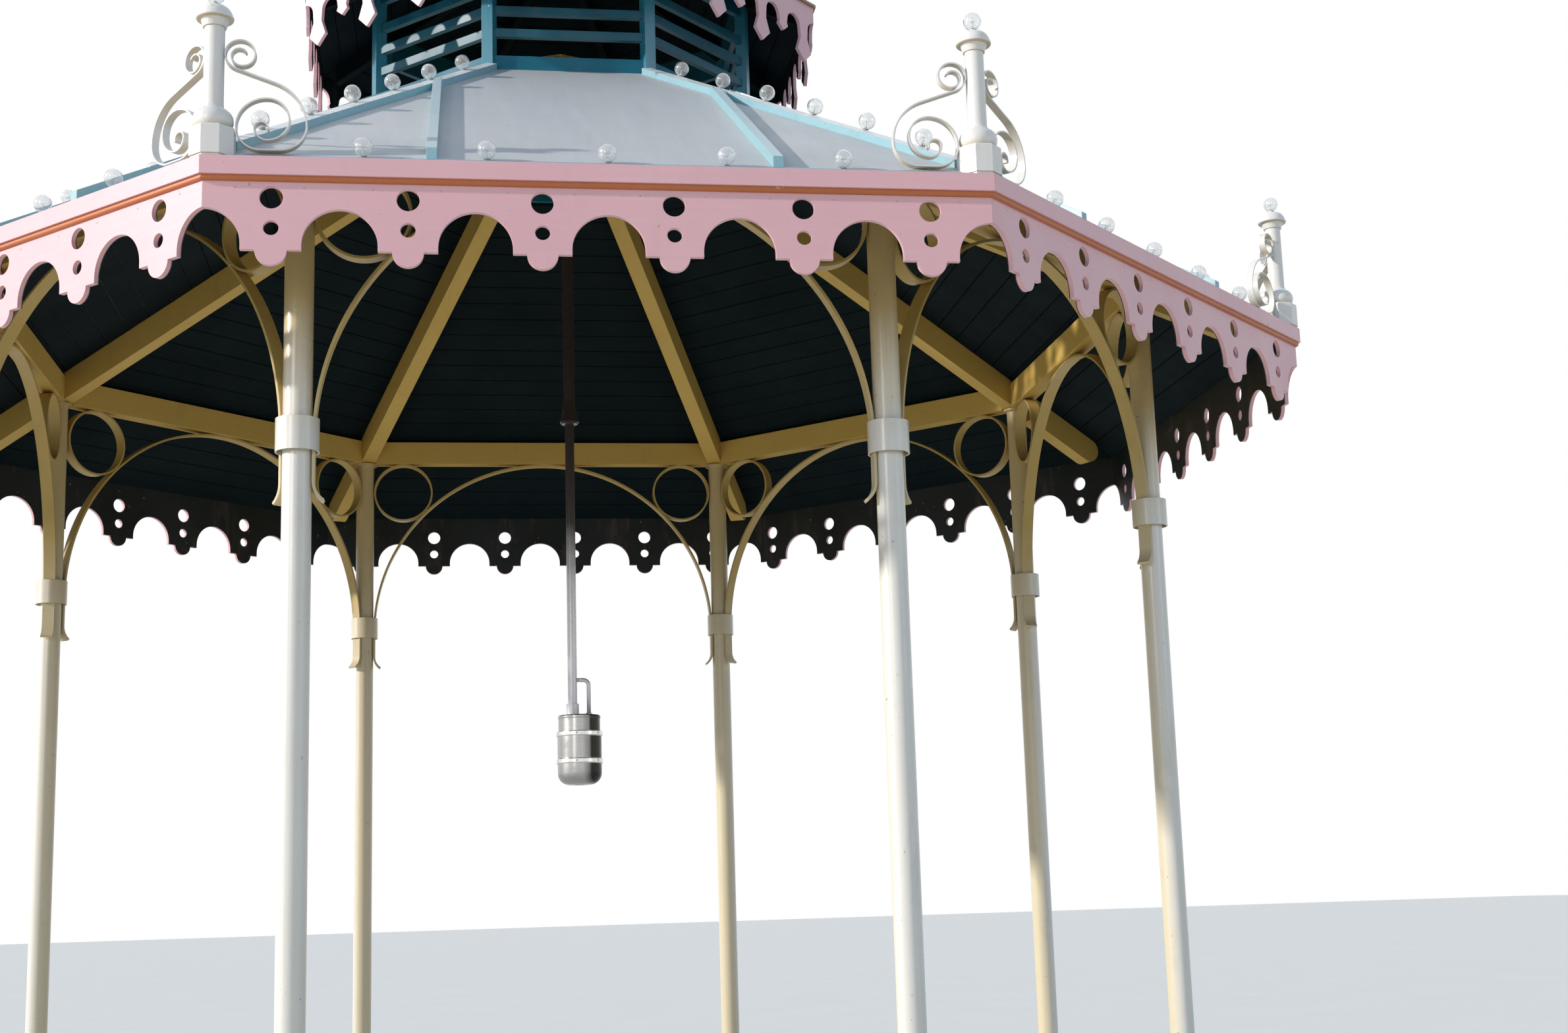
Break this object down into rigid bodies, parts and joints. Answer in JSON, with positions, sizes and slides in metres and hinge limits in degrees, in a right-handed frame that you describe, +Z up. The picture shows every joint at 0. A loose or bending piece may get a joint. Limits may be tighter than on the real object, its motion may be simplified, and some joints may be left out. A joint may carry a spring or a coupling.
{
  "type": "bandstand",
  "caption": "Open octagonal bandstand on pipe columns, with bar arches, a pierced scalloped valance, a hipped roof and a small louvred turret.",
  "frame": {"origin": "On the vertical axis of the octagon, at ground level under the column base flanges.", "axes": "Z up. One flat side, the front bay, faces -Y. X runs to the right of someone who faces the front bay."},
  "size_m": [7.0818, 7.0818, 7.2628],
  "materials": {
    "white_steel": "white gloss paint on steel",
    "ochre_steel": "ochre gloss paint on steel",
    "ochre_timber": "ochre paint on planed timber",
    "dark_boards": "dark green paint on boards",
    "grey_sheet": "pale grey-blue paint on flat sheet",
    "pale_trim": "light blue paint on timber",
    "pink_timber": "pale pink gloss paint on board",
    "orange_bead": "orange-brown gloss paint",
    "tan_trim": "tan paint on a narrow nosing",
    "teal_metal": "teal paint on folded metal",
    "teal_timber": "teal paint on planed timber",
    "white_timber": "white gloss paint on turned timber",
    "lamp_socket": "pale moulded lamp socket",
    "clear_glass": "clear blown glass",
    "pendant_metal": "worn cream paint on tube",
    "silver_metal": "satin silver"
  },
  "bodies": {
    "root": {"column_1": "white_steel", "column_2": "white_steel", "column_3": "white_steel", "column_4": "white_steel", "column_5": "white_steel", "column_6": "white_steel", "column_7": "white_steel", "column_8": "white_steel", "arch_1": "ochre_steel", "arch_2": "ochre_steel", "arch_3": "ochre_steel", "arch_4": "ochre_steel", "arch_5": "ochre_steel", "arch_6": "ochre_steel", "arch_7": "ochre_steel", "arch_8": "ochre_steel", "column_bases": "white_steel", "column_collars": "white_steel", "ring_beams": "ochre_timber", "spandrel_rings": "ochre_steel", "hip_rafters": "ochre_timber", "roof_hub": "ochre_timber", "ceiling_boards": "dark_boards", "roof_sheets": "grey_sheet", "hip_caps": "pale_trim", "roof_battens": "pale_trim", "valance_boards": "pink_timber", "fascia_boards": "pink_timber", "fascia_bead": "orange_bead", "eave_flashing": "teal_metal", "corner_finials": "white_timber", "scroll_brackets": "white_steel", "lamp_sockets": "lamp_socket", "lamp_globes": "clear_glass", "turret_posts": "teal_timber", "turret_base_boards": "teal_timber", "turret_rails": "teal_timber", "turret_rafters": "dark_boards", "turret_ceiling": "dark_boards", "turret_roof_sheets": "grey_sheet", "turret_hip_caps": "pale_trim", "turret_valance": "pink_timber", "turret_nosing": "tan_trim", "turret_spire": "white_timber", "pendant_rod": "pendant_metal", "pendant_canister": "silver_metal"}
  },
  "joints": []
}
